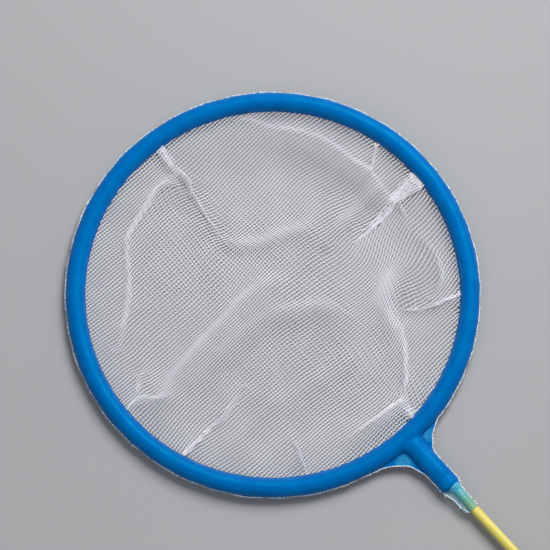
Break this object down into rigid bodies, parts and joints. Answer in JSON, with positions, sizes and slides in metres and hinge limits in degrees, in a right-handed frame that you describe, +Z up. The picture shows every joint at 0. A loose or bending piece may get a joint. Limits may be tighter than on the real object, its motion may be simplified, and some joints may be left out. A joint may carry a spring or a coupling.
{
  "type": "aquarium fish net",
  "caption": "Round aquarium fish net: slack net bag welded between blue films around a padded wire hoop, with a padded neck and a slim straight yellow tube handle.",
  "frame": {"origin": "centre of the footprint, on the surface that the net lies on", "axes": "+X along the handle from the ring towards its free end, +Z up out of the net's open side, +Y across the ring"},
  "size_m": [0.5436, 0.2, 0.0088],
  "materials": {
    "wire": "satin",
    "hose": "matte",
    "film": "satin",
    "net": "matte",
    "sheath": "satin"
  },
  "bodies": {
    "root": {"frame_wire": "wire", "rim_hose": "hose", "neck_sleeve": "hose", "handle_sheath": "sheath", "end_plug": "sheath", "upper_film": "film", "lower_film": "film", "net_bag": "net"}
  },
  "joints": []
}
